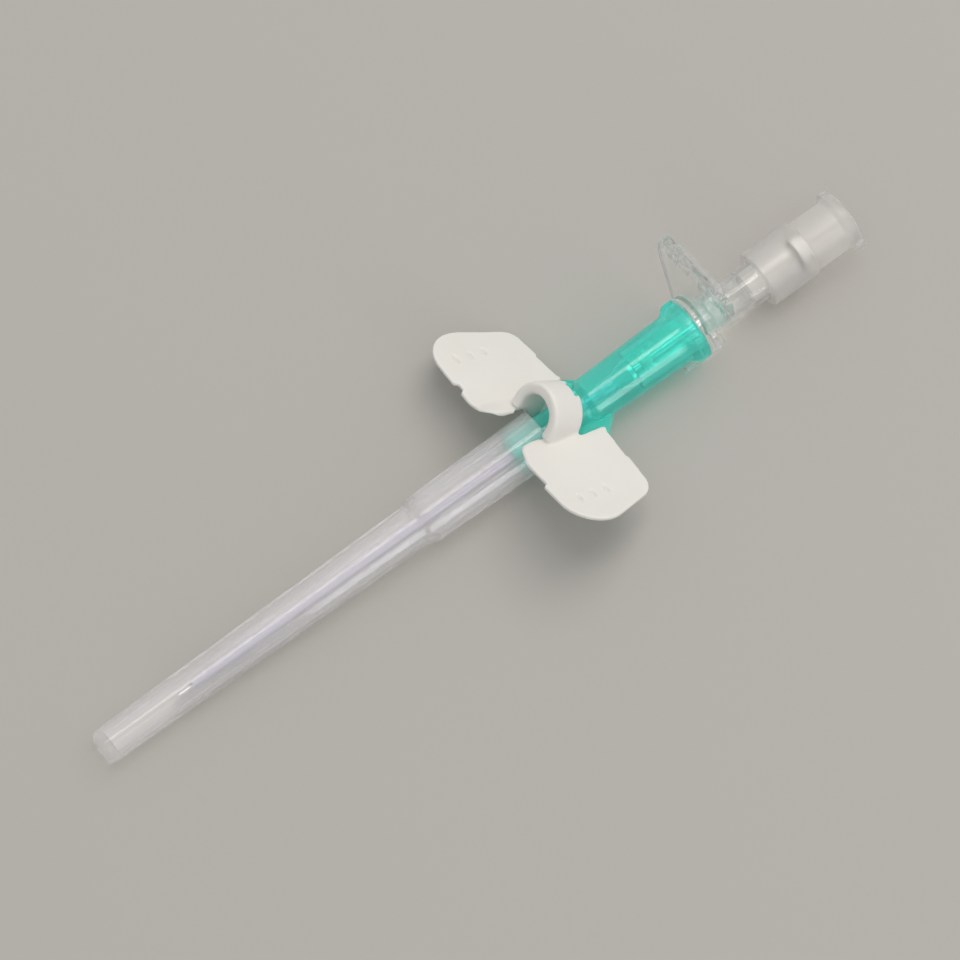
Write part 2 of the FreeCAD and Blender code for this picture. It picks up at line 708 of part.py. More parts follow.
def make_vent_filter():
    """Porous disc seated between the plug's vent bore and its rear socket."""
    body = new_body("vent_filter")
    socket_end = plug_stations()[4] - size.plug_socket
    revolve(body, [
        (socket_end - size.filter_thickness, 0),
        (socket_end - size.filter_thickness, size.filter_radius - size.bond_gap),
        (socket_end, size.filter_radius - size.bond_gap),
        (socket_end, 0),
    ])
    return body


def cover_mouth():
    """Place of the cover's mouth on the axis."""
    return -size.hub_length + size.cover_grip


def make_needle_cover():
    """Frosted cover: closed tip, long slim taper, and a wide sleeve with ribs inside."""
    body = new_body("needle_cover")
    mouth = cover_mouth()
    tip = mouth - size.cover_length
    sleeve = mouth - size.sleeve_length
    tip_bore = size.cover_tip_radius - size.cover_wall
    slim_bore = size.cover_slim_radius - size.cover_wall
    revolve(body, [
        (tip, 0),
        (tip, size.cover_tip_radius),
        (sleeve, size.cover_slim_radius),
        (sleeve + size.sleeve_step, size.sleeve_front_radius),
        (mouth, size.sleeve_mouth_radius),
        (mouth, size.sleeve_bore_mouth),
        (sleeve + 3 * size.sleeve_step, size.sleeve_bore_front),
        (sleeve + size.sleeve_step, slim_bore),
        (tip + size.cover_end, tip_bore),
        (tip + size.cover_end, 0),
    ])
    round_circles(body, [(tip, size.cover_tip_radius)], size.cover_round)
    gate = sketch_on(body, "YZ_Plane", "gate_mark", away=tip)
    circle = gate.addGeometry(Part.Circle(vector(), vector(0, 0, 1), size.gate_radius.number), False)
    gate.addConstraint(Sketcher.Constraint("Coincident", circle, 3, *ORIGIN))
    index = gate.addConstraint(Sketcher.Constraint("Radius", circle, size.gate_radius.number))
    bind(gate, f"Constraints[{index}]", size.gate_radius)
    pocket(body, gate, size.gate_depth, backwards=True)
    rib = sketch_on(body, "XY_Plane", "sleeve_rib")
    top = size.nose_radius + size.slide_gap
    front = sleeve + size.rib_front
    back = mouth - size.rib_back
    outline(rib, [
        (front, size.sleeve_bore_front + size.bite / 4),
        (front + size.rib_lead, top),
        (back - size.rib_lead, top),
        (back, size.sleeve_bore_mouth + size.bite / 4),
    ])
    ribs = pad(body, rib, size.rib_width, both_ways=True)
    ring = body.newObject("PartDesign::PolarPattern", "sleeve_ribs")
    ring.Originals = [ribs]
    ring.Axis = (rib, ["H_Axis"])
    ring.Angle = 360
    ring.Occurrences = int(size.rib_count.number)
    bind(ring, "Occurrences", size.rib_count)
    body.Tip = ring
    doc.recompute()
    return body


def pitched(x, y, z, pitch):
    """Placement with its X axis pointing rearwards and down by the pitch."""
    turned = FreeCAD.Rotation(vector(0, 1, 0), Bound.of(pitch).number)
    return FreeCAD.Placement(vector(x, y, z), turned)


def clip_line():
    """Place along the axis of the line about which the wings twist."""
    return cover_mouth() - size.clip_back


def wing_slab():
    """Twisted plate, wider than the wing, between a root section and a tip section."""
    sections = []
    upright = FreeCAD.Placement(vector(), FreeCAD.Rotation(vector(1, 0, 0), 90))
    for name, y, pitch in (
        ("root", size.wing_inner, size.wing_pitch_root),
        ("tip", size.wing_span, size.wing_pitch_tip),
    ):
        section = doc.addObject("Sketcher::SketchObject", f"wing_section_{name}")
        section.Placement = pitched(clip_line(), y, size.clip_rise, pitch).multiply(upright)
        outline(section, [
            (-2 * size.wing_front, -size.wing_thickness),
            (2 * size.wing_rear, -size.wing_thickness),
            (2 * size.wing_rear, 0),
            (-2 * size.wing_front, 0),
        ])
        sections.append(section)
    slab = doc.addObject("Part::Loft", "wing_slab")
    slab.Sections = sections
    slab.Solid = True
    slab.Ruled = True
    return slab


def wing_corners():
    """Corners of a wing's outline as (chord, span, rounding)."""
    front = -size.wing_front
    inner = -size.wing_front_inner
    notch = front + size.notch_depth
    notch_start = size.notch_place - size.notch_width / 2
    notch_end = size.notch_place + size.notch_width / 2
    inner_rear = size.wing_rear - size.step_depth
    small = size.wing_round_small
    tab_end = size.wing_tab + size.wing_tab_length
    root_end = size.wing_inner + size.bite
    return [
        (-size.wing_lobe, size.wing_inner, size.wing_round_inner),
        (inner, (size.wing_inner + notch_start) / 2, size.wing_round_lobe),
        (inner, notch_start, None),
        (notch, notch_start + small / 2, None),
        (notch, notch_end - small / 2, small),
        (front, notch_end, small),
        (front, size.wing_span, size.wing_round_front),
        (size.wing_rear, size.wing_tip_rear, size.wing_round_rear),
        (size.wing_rear, size.step_place, small),
        (inner_rear, size.step_place - small, small),
        (inner_rear, tab_end + small, small),
        (size.wing_rear, tab_end, small),
        (size.wing_rear, size.wing_tab, small),
        (size.wing_root_rear, size.wing_tab, small),
        (size.wing_root_rear, root_end, None),
        (-size.clip_back, root_end, None),
        (-size.clip_back, size.wing_inner, None),
    ]


def mean_pitch():
    """Nose-up pitch of the plane in which a wing's outline is drawn."""
    return (size.wing_pitch_root + size.wing_pitch_tip) / 2


def rounded_edges(shape, place, corners):
    """Upright edges of the prism that stand at a corner, each with that corner's rounding."""
    rounds = []
    flat = place.inverse()
    for number, edge in enumerate(shape.Edges, start=1):
        first, last = (flat.multVec(vertex.Point) for vertex in edge.Vertexes)
        for chord, span, radius in corners:
            corner = vector(chord, span)
            upright = math.dist((first.x, first.y), (last.x, last.y)) < 1e-3
            if radius and upright and math.dist((first.x, first.y), (corner.x, corner.y)) < 1e-3:
                rounds.append((number, radius.number, radius.number))
    return rounds


def make_wing(slab):
    """One wing: the twisted plate cut to its outline, with three dimples in its top."""
    corners = wing_corners()
    sketch = doc.addObject("Sketcher::SketchObject", "wing_outline")
    sketch.Placement = pitched(clip_line(), 0, size.clip_rise, mean_pitch())
    outline(sketch, [(chord, span) for chord, span, _ in corners])
    prism = doc.addObject("Part::Extrusion", "wing_prism")
    prism.Base = sketch
    prism.DirMode = "Normal"
    prism.Solid = True
    bind(prism, "LengthFwd", size.wing_front)
    bind(prism, "LengthRev", size.wing_front)
    doc.recompute()
    rounded = doc.addObject("Part::Fillet", "wing_prism_rounded")
    rounded.Base = prism
    rounded.Edges = rounded_edges(prism.Shape, sketch.Placement, corners)
    plate = doc.addObject("Part::MultiCommon", "wing_plate")
    plate.Shapes = [rounded, slab]
    dents = doc.addObject("Part::MultiFuse", "dimples")
    dents.Shapes = [make_dimple(number) for number in range(3)]
    dimpled = doc.addObject("Part::Cut", "wing_dimpled")
    dimpled.Base = plate
    dimpled.Tool = dents
    doc.recompute()
    return dimpled


def make_dimple(number):
    """Ellipsoid that presses one dimple into a wing."""
    dimple = doc.addObject("Part::Ellipsoid", f"dimple_{number}")
    bind(dimple, "Radius1", size.dimple_depth)
    bind(dimple, "Radius2", size.dimple_width / 2)
    bind(dimple, "Radius3", size.dimple_length / 2)
    share = (size.dimple_place - size.wing_inner) / (size.wing_span - size.wing_inner)
    pitch = size.wing_pitch_root + (size.wing_pitch_tip - size.wing_pitch_root) * share
    middle = pitched(clip_line(), size.dimple_place, size.clip_rise, pitch)
    chord = number * size.dimple_pitch - size.dimple_first
    dimple.Placement = middle.multiply(FreeCAD.Placement(vector(chord), FreeCAD.Rotation()))
    return dimple


def make_collar():
    """Open collar that straddles the hub: an arch on two legs, pitched nose-up."""
    body = new_body("collar")
    outer = size.collar_bore + size.collar_wall
    arch = sketch_on(body, "YZ_Plane", "collar_arch")
    up = vector(0, 0, 1)
    for radius in (outer, size.collar_bore):
        circle = Part.Circle(vector(), up, radius.number)
        arc = arch.addGeometry(Part.ArcOfCircle(circle, 0, math.pi), False)
        arch.addConstraint(Sketcher.Constraint("Coincident", arc, 3, *ORIGIN))
        index = arch.addConstraint(Sketcher.Constraint("Radius", arc, radius.number))
        bind(arch, f"Constraints[{index}]", radius)
        arch.addConstraint(Sketcher.Constraint("PointOnObject", arc, 1, SKETCH_AXES[0]))
        arch.addConstraint(Sketcher.Constraint("PointOnObject", arc, 2, SKETCH_AXES[0]))
    for side, end in ((1, 1), (-1, 2)):
        path = [(side * outer, 0), (side * outer, -size.collar_leg),
                (side * size.collar_bore, -size.collar_leg), (side * size.collar_bore, 0)]
        first = arch.GeometryCount
        spots = [vector(x, y) for x, y in path]
        for here, after in zip(spots, spots[1:]):
            arch.addGeometry(Part.LineSegment(here, after), False)
        arch.addConstraint(Sketcher.Constraint("Coincident", first, 1, 0, end))
        arch.addConstraint(Sketcher.Constraint("Coincident", first, 2, first + 1, 1))
        arch.addConstraint(Sketcher.Constraint("Coincident", first + 1, 2, first + 2, 1))
        arch.addConstraint(Sketcher.Constraint("Coincident", first + 2, 2, 1, end))
        hold(arch, (first + 1, 1), *path[1])
        hold(arch, (first + 1, 2), *path[2])
    arched = pad(body, arch, size.collar_length)
    arcs = []
    for number, edge in enumerate(arched.Shape.Edges, start=1):
        if isinstance(edge.Curve, Part.Circle):
            arcs.append(f"Edge{number}")
    softened = body.newObject("PartDesign::Fillet", "collar_round")
    softened.Base = (arched, arcs)
    softened.Radius = size.collar_round.number
    bind(softened, "Radius", size.collar_round)
    doc.recompute()
    trim = sketch_on(body, "XZ_Plane", "collar_trim")
    foot = size.collar_foot
    end = size.collar_leg + size.over_cut
    outline(trim, [
        (-1, -foot),
        (size.collar_toe, -foot),
        (size.collar_toe + end - foot, -end),
        (-1, -end),
    ])
    pocket(body, trim, 4 * outer, both_ways=True)
    notch = sketch_on(body, "XY_Plane", "collar_notch")
    outline(notch, [
        (size.collar_length - size.collar_notch_depth, -size.collar_notch_width / 2),
        (size.collar_length + size.over_cut, -size.collar_notch_width / 2),
        (size.collar_length + size.over_cut, size.collar_notch_width / 2),
        (size.collar_length - size.collar_notch_depth, size.collar_notch_width / 2),
    ])
    pocket(body, notch, 2 * outer, backwards=True)
    body.Placement = pitched(cover_mouth(), 0, size.collar_rise, size.collar_pitch)
    return body


def make_wing_clip():
    """White soft clip: the collar with a wing on each side, in one moulding."""
    collar = make_collar()
    wing = make_wing(wing_slab())
    mirror = doc.addObject("Part::Mirroring", "wing_mirrored")
    mirror.Source = wing
    mirror.Base = vector()
    mirror.Normal = vector(0, 1, 0)
    clip = doc.addObject("Part::MultiFuse", "wing_clip")
    clip.Label = "wing_clip"
    clip.Shapes = [collar, wing, mirror]
    clip.Refine = True
    doc.recompute()
    return clip


def leaned(pitch, roll):
    """Placement that lowers the +Y wing by the roll and then raises the rear by the pitch."""
    raised = FreeCAD.Rotation(vector(0, 1, 0), -math.degrees(pitch))
    lowered = FreeCAD.Rotation(vector(1, 0, 0), -math.degrees(roll))
    return FreeCAD.Placement(vector(), raised.multiply(lowered))


def resting_place(clip):
    """Attitude on a table: held up by the cover's tip, the flange and a wing's rear corner.

    The pitch brings the bottom of the cover's tip and of the flange to one height. The roll
    is then the smallest one at which the lowest point of the clip comes down to that height.
    """
    tip = (cover_mouth() - size.cover_length + size.cover_round).number
    flange = (size.flange_gap + size.flange_width).number
    low, high = size.cover_tip_radius.number, size.flange_radius.number
    pitch = math.asin((high - low) / (flange - tip))
    table = flange * math.sin(pitch) - high
    points = clip.Shape.tessellate(0.02)[0]
    least, most = 0.0, math.radians(40)
    while most - least > 1e-6:
        roll = (least + most) / 2
        place = leaned(pitch, roll)
        if min(place.multVec(point).z for point in points) > table:
            least = roll
        else:
            most = roll
    return leaned(pitch, least)


subparts = [
    make_catheter_hub(),
    make_catheter_tube(),
    make_catheter_eyelet(),
    make_needle(),
    make_needle_hub(),
    make_vent_plug(),
    make_vent_filter(),
    make_needle_cover(),
    make_wing_clip(),
]
rest = resting_place(subparts[-1])
for subpart in subparts:
    subpart.Placement = rest
doc.recompute()

for item in doc.Objects:
    if "Invalid" in item.State or "Error" in item.State:
        raise RuntimeError(f"{item.Name} failed: {item.State}")
for subpart in subparts:
    if subpart.Shape.isNull() or not subpart.Shape.isValid():
        raise RuntimeError(f"{subpart.Label} has no valid shape")

os.makedirs("parts", exist_ok=True)
for subpart in subparts:
    subpart.Shape.exportStep(f"parts/{subpart.Label}.step")
    print(subpart.Label, "volume", round(subpart.Shape.Volume, 2), "solids", len(subpart.Shape.Solids))
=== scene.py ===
import json
import logging
import math
from dataclasses import dataclass
from enum import Enum

import bpy
import numpy as np
from mathutils import Matrix, Vector, noise


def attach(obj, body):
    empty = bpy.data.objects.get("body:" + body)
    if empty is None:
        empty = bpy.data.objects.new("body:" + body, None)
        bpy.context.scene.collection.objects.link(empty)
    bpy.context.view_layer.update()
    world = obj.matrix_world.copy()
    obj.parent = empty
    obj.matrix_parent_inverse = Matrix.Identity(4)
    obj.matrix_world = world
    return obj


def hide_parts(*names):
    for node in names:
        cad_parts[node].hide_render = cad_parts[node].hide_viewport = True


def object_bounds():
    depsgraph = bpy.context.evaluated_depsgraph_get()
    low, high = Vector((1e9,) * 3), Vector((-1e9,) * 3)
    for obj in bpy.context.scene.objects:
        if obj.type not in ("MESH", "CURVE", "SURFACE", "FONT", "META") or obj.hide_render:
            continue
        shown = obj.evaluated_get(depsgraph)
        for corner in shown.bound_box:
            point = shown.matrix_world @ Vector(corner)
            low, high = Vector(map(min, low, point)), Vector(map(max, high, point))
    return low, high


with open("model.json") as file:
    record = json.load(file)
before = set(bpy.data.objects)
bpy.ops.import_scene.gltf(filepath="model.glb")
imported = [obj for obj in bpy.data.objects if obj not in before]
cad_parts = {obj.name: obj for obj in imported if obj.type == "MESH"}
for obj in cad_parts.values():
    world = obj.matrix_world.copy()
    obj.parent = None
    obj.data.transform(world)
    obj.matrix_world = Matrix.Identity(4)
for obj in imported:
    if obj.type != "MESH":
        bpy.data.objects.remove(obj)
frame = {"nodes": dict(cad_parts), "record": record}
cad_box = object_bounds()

log = logging.getLogger("iv_cannula")

MM = 0.001
FINE_DETAIL = 3.0
EVEN_SPREAD = (1.0, 1.0, 1.0)
Colour = tuple[float, float, float]


def shade(red: int, green: int, blue: int) -> Colour:
    """Turns a colour as a screen shows it, 0 to 255, into the linear values that a shader takes.

    Args:
        red: The red share.
        green: The green share.
        blue: The blue share.

    Returns:
        The three linear values.
    """

    def linear(level: int) -> float:
        """One channel's linear value."""
        part = level / 255
        return part / 12.92 if part <= 0.04045 else ((part + 0.055) / 1.055) ** 2.4

    return linear(red), linear(green), linear(blue)


class Grain(Enum):
    """How a moulded surface was finished in its tool, as (grain size in mm, bump depth in mm)."""

    POLISHED = (2.2, 0.001)
    SATIN = (0.5, 0.002)
    FROSTED = (0.3, 0.0003)


@dataclass(frozen=True)
class Lie:
    """How the device lies on the table, so that a piece can be made in the device's own frame."""

    roll: float = 12.418

    def placing(self) -> Matrix:
        """The way from the device's own frame to the table's.

        Returns:
            The matrix.
        """
        slide = frame["record"]["behaviour"]["joints"][0]
        pitch = math.asin(slide["axis"][2])
        return Matrix.Rotation(-pitch, 4, "Y") @ Matrix.Rotation(-math.radians(self.roll), 4, "X")

    def to_device(self, spots: np.ndarray) -> np.ndarray:
        """Turns points on the table into the device's own frame.

        Args:
            spots: The points, one to a row.

        Returns:
            The turned points.
        """
        return spots @ np.array(self.placing().to_3x3())

    def to_table(self, spots: np.ndarray) -> np.ndarray:
        """Turns points in the device's own frame on to the table.

        Args:
            spots: The points, one to a row.

        Returns:
            The turned points.
        """
        return spots @ np.array(self.placing().to_3x3()).T


@dataclass(frozen=True)
class Signal:
    """A value inside a node tree, with Python's own arithmetic."""

    tree: bpy.types.NodeTree
    socket: bpy.types.NodeSocket

    def maths(self, operation: str, first: "Signal | float", second: "Signal | float") -> "Signal":
        """Adds one Math node.

        Args:
            operation: The Math node's operation.
            first: The first value.
            second: The second value.

        Returns:
            The node's result.
        """
        node = self.tree.nodes.new("ShaderNodeMath")
        node.operation = operation
        for place, value in zip(node.inputs, (first, second)):
            feed(self.tree, place, value)
        return Signal(self.tree, node.outputs[0])

    def __add__(self, other: "Signal | float") -> "Signal":
        """self + other"""
        return self.maths("ADD", self, other)

    def __radd__(self, other: "Signal | float") -> "Signal":
        """other + self"""
        return self.maths("ADD", other, self)

    def __sub__(self, other: "Signal | float") -> "Signal":
        """self - other"""
        return self.maths("SUBTRACT", self, other)

    def __rsub__(self, other: "Signal | float") -> "Signal":
        """other - self"""
        return self.maths("SUBTRACT", other, self)

    def __mul__(self, other: "Signal | float") -> "Signal":
        """self * other"""
        return self.maths("MULTIPLY", self, other)

    def __rmul__(self, other: "Signal | float") -> "Signal":
        """other * self"""
        return self.maths("MULTIPLY", other, self)

    def at_most(self, other: "Signal | float") -> "Signal":
        """The lower of the two."""
        return self.maths("MINIMUM", self, other)

    def at_least(self, other: "Signal | float") -> "Signal":
        """The higher of the two."""
        return self.maths("MAXIMUM", self, other)


def feed(tree: bpy.types.NodeTree, place: bpy.types.NodeSocket, value: object) -> None:
    """Links a signal to a node's input, or sets a plain value on it.

    Args:
        tree: The node tree.
        place: The input socket.
        value: A Signal, a number, a vector or a colour.
    """
    if isinstance(value, Signal):
        tree.links.new(value.socket, place)
    elif isinstance(value, tuple) and place.type == "RGBA":
        place.default_value = (*value, 1.0)
    else:
        place.default_value = value


class Shader:
    """The node tree of one material or of the world."""

    def __init__(self, tree: bpy.types.NodeTree) -> None:
        """Empties the tree."""
        self.tree = tree
        tree.nodes.clear()

    def node(
        self,
        kind: str,
        settings: dict[str, object] | None = None,
        inputs: dict[str | int, object] | None = None,
        output: str | int = 0,
    ) -> Signal:
        """Adds a node of any kind.

        Args:
            kind: The node's type, without its ShaderNode prefix.
            settings: What is set on the node itself, first.
            inputs: What goes into its sockets, by name or number.
            output: The output that is wanted, by name or number.

        Returns:
            The node's output.
        """
        node = self.tree.nodes.new("ShaderNode" + kind)
        for name, value in (settings or {}).items():
            setattr(node, name, value)
        for name, value in (inputs or {}).items():
            feed(self.tree, node.inputs[name], value)
        return Signal(self.tree, node.outputs[output])

    def along(self, stretch: float = 1.0) -> Signal:
        """The place in the device's own frame, squeezed along it, so that a texture runs lengthwise.

        Args:
            stretch: How many times longer than wide the texture gets.

        Returns:
            The texture coordinates, in metres.
        """
        place = self.node("TexCoord", output="Object")
        turned = {"Vector": place, "Rotation": Lie().placing().to_euler(), "Scale": (stretch, 1.0, 1.0)}
        return self.node("Mapping", {"vector_type": "TEXTURE"}, turned)

    def noise(self, size_mm: float, detail: float = 2.0, stretch: float = 1.0) -> Signal:
        """A soft random pattern.

        Args:
            size_mm: The size of one blotch.
            detail: How many finer layers lie in it.
            stretch: How many times longer than wide a blotch is.

        Returns:
            A value round 0.5.
        """
        inputs = {"Vector": self.along(stretch), "Scale": 1.0 / (size_mm * MM), "Detail": detail}
        return self.node("TexNoise", inputs=inputs)

    def blend(self, factor: Signal | float, first: object, second: object) -> Signal:
        """Mixes two colours.

        Args:
            factor: 0 for the first, 1 for the second.
            first: A colour.
            second: A colour.

        Returns:
            The mixed colour.
        """
        return self.node("Mix", {"data_type": "RGBA"}, {0: factor, 6: first, 7: second}, output=2)

    def bump(self, height: Signal, depth_mm: float, normal: Signal | None = None) -> Signal:
        """Turns a height into a bent surface direction.

        Args:
            height: The height, 0 to 1.
            depth_mm: What a height of 1 stands for.
            normal: The direction that is bent, where it isn't the mesh's own.

        Returns:
            The normal.
        """
        inputs = {"Strength": 1.0, "Distance": depth_mm * MM, "Height": height}
        if normal is not None:
            inputs["Normal"] = normal
        return self.node("Bump", inputs=inputs)

    def let_by(self, body: Signal, share: float, tint: Colour) -> Signal:
        """Lets a share of the lamps' light pass a surface, so that what lies behind it isn't black.

        Args:
            body: The surface's own shader.
            share: The share that passes, 0 to 1.
            tint: The colour that the light takes on.

        Returns:
            The mixed shader.
        """
        veil = self.node("BsdfTransparent", inputs={"Color": tint})
        shadow = self.node("LightPath", output="Is Shadow Ray")
        return self.node("MixShader", inputs={0: shadow * share, 1: body, 2: veil})

    def close(self, surface: Signal, kind: str = "Material") -> None:
        """Ends the tree in its output.

        Args:
            surface: The shader that goes into it.
            kind: What the tree belongs to, Material or World.
        """
        node = self.tree.nodes.new("ShaderNodeOutput" + kind)
        feed(self.tree, node.inputs["Surface"], surface)


def new_material(name: str) -> tuple[bpy.types.Material, Shader]:
    """Makes an empty material.

    Args:
        name: Its name.

    Returns:
        The material and its node tree.
    """
    material = bpy.data.materials.new(name)
    material.use_nodes = True
    return material, Shader(material.node_tree)


@dataclass(frozen=True)
class ClearMoulding:
    """A see-through or milky moulded plastic.

    Light from the lamps reaches what lies inside it, tinted a little by each wall. A thin pane can
    let the eye pass straight through where it is looked at squarely. The sizes of its patterns and
    its rounded edges are in millimetres.
    """

    name: str
    colour: Colour
    deep_colour: Colour
    transmission: float
    roughness: float
    grain: Grain
    ior: float = 1.46
    shadow_tint: Colour = (0.97, 0.97, 0.97)
    shadow_pass: float = 0.95
    flow: float = 6.0
    streak: float = 0.9
    subsurface: float = 0.0
    spread: float = 0.6 * MM
    squarely_through: float = 0.0
    edge_round: float = 0.0
    edge_samples: int = 4
    coat: float = 0.0
    coat_roughness: float = 0.05
    least_roughness: float = 0.01
    steady_part: float = 0.85
    grain_part: float = 0.2
    streak_part: float = 0.1
    grain_height: float = 0.4
    cloud: float = 4.0
    cloud_flow: float = 2.0
    cloud_part: float = 0.6

    def build(self) -> bpy.types.Material:
        """Makes the material.

        Returns:
            The material.
        """
        material, shader = new_material(self.name)
        size, depth = self.grain.value
        fine = shader.noise(size, FINE_DETAIL)
        streaks = shader.noise(self.streak, stretch=self.flow)
        cloud = shader.noise(self.cloud, stretch=self.cloud_flow)
        rough = self.roughness * (self.steady_part + self.grain_part * fine + self.streak_part * streaks)
        tone = cloud * self.cloud_part + streaks * (1 - self.cloud_part)
        height = fine * self.grain_height + streaks * (1 - self.grain_height)
        rounded = None
        if self.edge_round:
            rounded = shader.node("Bevel", {"samples": self.edge_samples}, {"Radius": self.edge_round * MM})
        inputs = {
            "Base Color": shader.blend(tone, self.deep_colour, self.colour),
            "Roughness": rough.at_least(self.least_roughness),
            "IOR": self.ior,
            "Coat Weight": self.coat,
            "Coat Roughness": self.coat_roughness,
            "Transmission Weight": self.transmission,
            "Subsurface Weight": self.subsurface,
            "Subsurface Radius": EVEN_SPREAD,
            "Subsurface Scale": self.spread,
            "Normal": shader.bump(height, depth, rounded),
        }
        if self.squarely_through:
            facing = shader.node("LayerWeight", inputs={"Blend": 0.5}, output="Facing")
            inputs["Alpha"] = (1 - self.squarely_through) + self.squarely_through * facing
        body = shader.node("BsdfPrincipled", inputs=inputs)
        shader.close(shader.let_by(body, self.shadow_pass, self.shadow_tint))
        return material


@dataclass(frozen=True)
class SoftWhite:
    """The clip's soft plastic, with a satin skin, whose pattern is in millimetres.

    Light spreads under the skin, and a little of the lamps' light comes through.
    """

    name: str
    colour: Colour
    shaded: Colour
    roughness: float
    grain: Grain = Grain.SATIN
    grain_part: float = 0.12
    grain_height: float = 0.7
    cloud: float = 5.0
    ior: float = 1.5
    subsurface: float = 0.5
    spread: float = 0.5 * MM
    shadow_tint: Colour = (0.97, 1.0, 0.98)
    shadow_pass: float = 0.4

    def build(self) -> bpy.types.Material:
        """Makes the material.

        Returns:
            The material.
        """
        material, shader = new_material(self.name)
        size, depth = self.grain.value
        fine = shader.noise(size, FINE_DETAIL)
        cloud = shader.noise(self.cloud)
        height = fine * self.grain_height + cloud * (1 - self.grain_height)
        inputs = {
            "Base Color": shader.blend(cloud, self.shaded, self.colour),
            "Roughness": self.roughness + self.grain_part * fine,
            "IOR": self.ior,
            "Subsurface Weight": self.subsurface,
            "Subsurface Radius": EVEN_SPREAD,
            "Subsurface Scale": self.spread,
            "Normal": shader.bump(height, depth),
        }
        body = shader.node("BsdfPrincipled", inputs=inputs)
        shader.close(shader.let_by(body, self.shadow_pass, self.shadow_tint))
        return material


@dataclass(frozen=True)
class DrawnSteel:
    """Stainless steel with the fine lengthwise lines of drawing, in millimetres."""

    name: str
    colour: Colour
    roughness: float
    line: float = 0.06
    line_stretch: float = 60.0
    line_depth: float = 0.002
    line_part: float = 0.15

    def build(self) -> bpy.types.Material:
        """Makes the material.

        Returns:
            The material.
        """
        material, shader = new_material(self.name)
        lines = shader.noise(self.line, stretch=self.line_stretch)
        inputs = {
            "Base Color": self.colour,
            "Metallic": 1.0,
            "Roughness": self.roughness + self.line_part * lines,
            "Normal": shader.bump(lines, self.line_depth),
        }
        shader.close(shader.node("BsdfPrincipled", inputs=inputs))
        return material


@dataclass(frozen=True)
class PorousFibre:
    """The vent filter's pressed white fibre, with its pores in millimetres and painted shade darkening the
    pits between its cells.
    """

    name: str
    colour: Colour
    # The second colour is painted shade, laid into the pits between the fibre's cells.
    pore_shade: Colour
    pore: float = 0.18
    pore_depth: float = 0.05
    pore_shade_contrast: float = 1.4
    roughness: float = 0.9

    def build(self) -> bpy.types.Material:
        """Makes the material.

        Returns:
            The material.
        """
        material, shader = new_material(self.name)
        cells = {"Vector": shader.along(), "Scale": 1.0 / (self.pore * MM)}
        pits = shader.node("TexVoronoi", {"feature": "F1"}, cells, output="Distance")
        inputs = {
            # The pits between the cells, which the bump sets lowest, are darkened towards the second colour:
            # painted shade in the recesses.
            "Base Color": shader.blend((self.pore_shade_contrast * pits).at_most(1.0), self.colour, self.pore_shade),
            "Roughness": self.roughness,
            "Normal": shader.bump(1 - pits, self.pore_depth),
        }
        shader.close(shader.node("BsdfPrincipled", inputs=inputs))
        return material


@dataclass(frozen=True)
class TableTop:
    """The smooth warm grey board that the cannula lies on, with its grain in millimetres."""

    name: str
    colour: Colour
    grain: float = 0.6
    grain_depth: float = 0.01
    grain_shade: float = 0.985
    roughness: float = 0.62
    ior: float = 1.3

    def build(self) -> bpy.types.Material:
        """Makes the material.

        Returns:
            The material.
        """
        material, shader = new_material(self.name)
        fine = shader.noise(self.grain, FINE_DETAIL)
        darker = tuple(part * self.grain_shade for part in self.colour)
        inputs = {
            "Base Color": shader.blend(fine, darker, self.colour),
            "Roughness": self.roughness,
            "IOR": self.ior,
            "Normal": shader.bump(fine, self.grain_depth),
        }
        shader.close(shader.node("BsdfPrincipled", inputs=inputs))
        return material


def dress(node: str, material: bpy.types.Material) -> bpy.types.Object:
    """Gives a piece of the frame its finish.

    Args:
        node: The piece's name.
        material: Its material.

    Returns:
        The piece's object.
    """
    piece = frame["nodes"][node]
    for slot in piece.material_slots:
        slot.material = material
    return piece


def read_spots(mesh: bpy.types.Mesh) -> np.ndarray:
    """Reads a mesh's points.

    Args:
        mesh: The mesh.

    Returns:
        The points, one to a row.
    """
    spots = np.empty(len(mesh.vertices) * 3)
    mesh.vertices.foreach_get("co", spots)
    return spots.reshape(-1, 3)


def write_spots(mesh: bpy.types.Mesh, spots: np.ndarray) -> None:
    """Puts a mesh's points in new places.

    Args:
        mesh: The mesh.
        spots: The points, one to a row.
    """
    mesh.vertices.foreach_set("co", spots.ravel())
    mesh.update()


def relax(mesh: bpy.types.Mesh, strength: np.ndarray, rounds: int) -> None:
    """Softens a mesh by drawing each point towards its neighbours.

    Args:
        mesh: The mesh.
        strength: How far each point goes in one round, 0 to 1.
        rounds: How many rounds there are.
    """
    spots = read_spots(mesh)
    ends = np.empty(len(mesh.edges) * 2, dtype=int)
    mesh.edges.foreach_get("vertices", ends)
    first, second = ends.reshape(-1, 2).T
    here = np.concatenate((first, second))
    there = np.concatenate((second, first))
    neighbours = np.bincount(here, minlength=len(spots))
    for _ in range(rounds):
        for axis in range(3):
            total = np.bincount(here, weights=spots[there, axis], minlength=len(spots))
            spots[:, axis] += strength * (total / neighbours - spots[:, axis])
    write_spots(mesh, spots)


def rise(values: np.ndarray, start: float, end: float) -> np.ndarray:
    """A soft step.

    Args:
        values: Where it is read.
        start: Where it leaves 0.
        end: Where it reaches 1.

    Returns:
        The step's height at each value.
    """
    part = np.clip((values - start) / (end - start), 0.0, 1.0)
    return part * part * (3 - 2 * part)


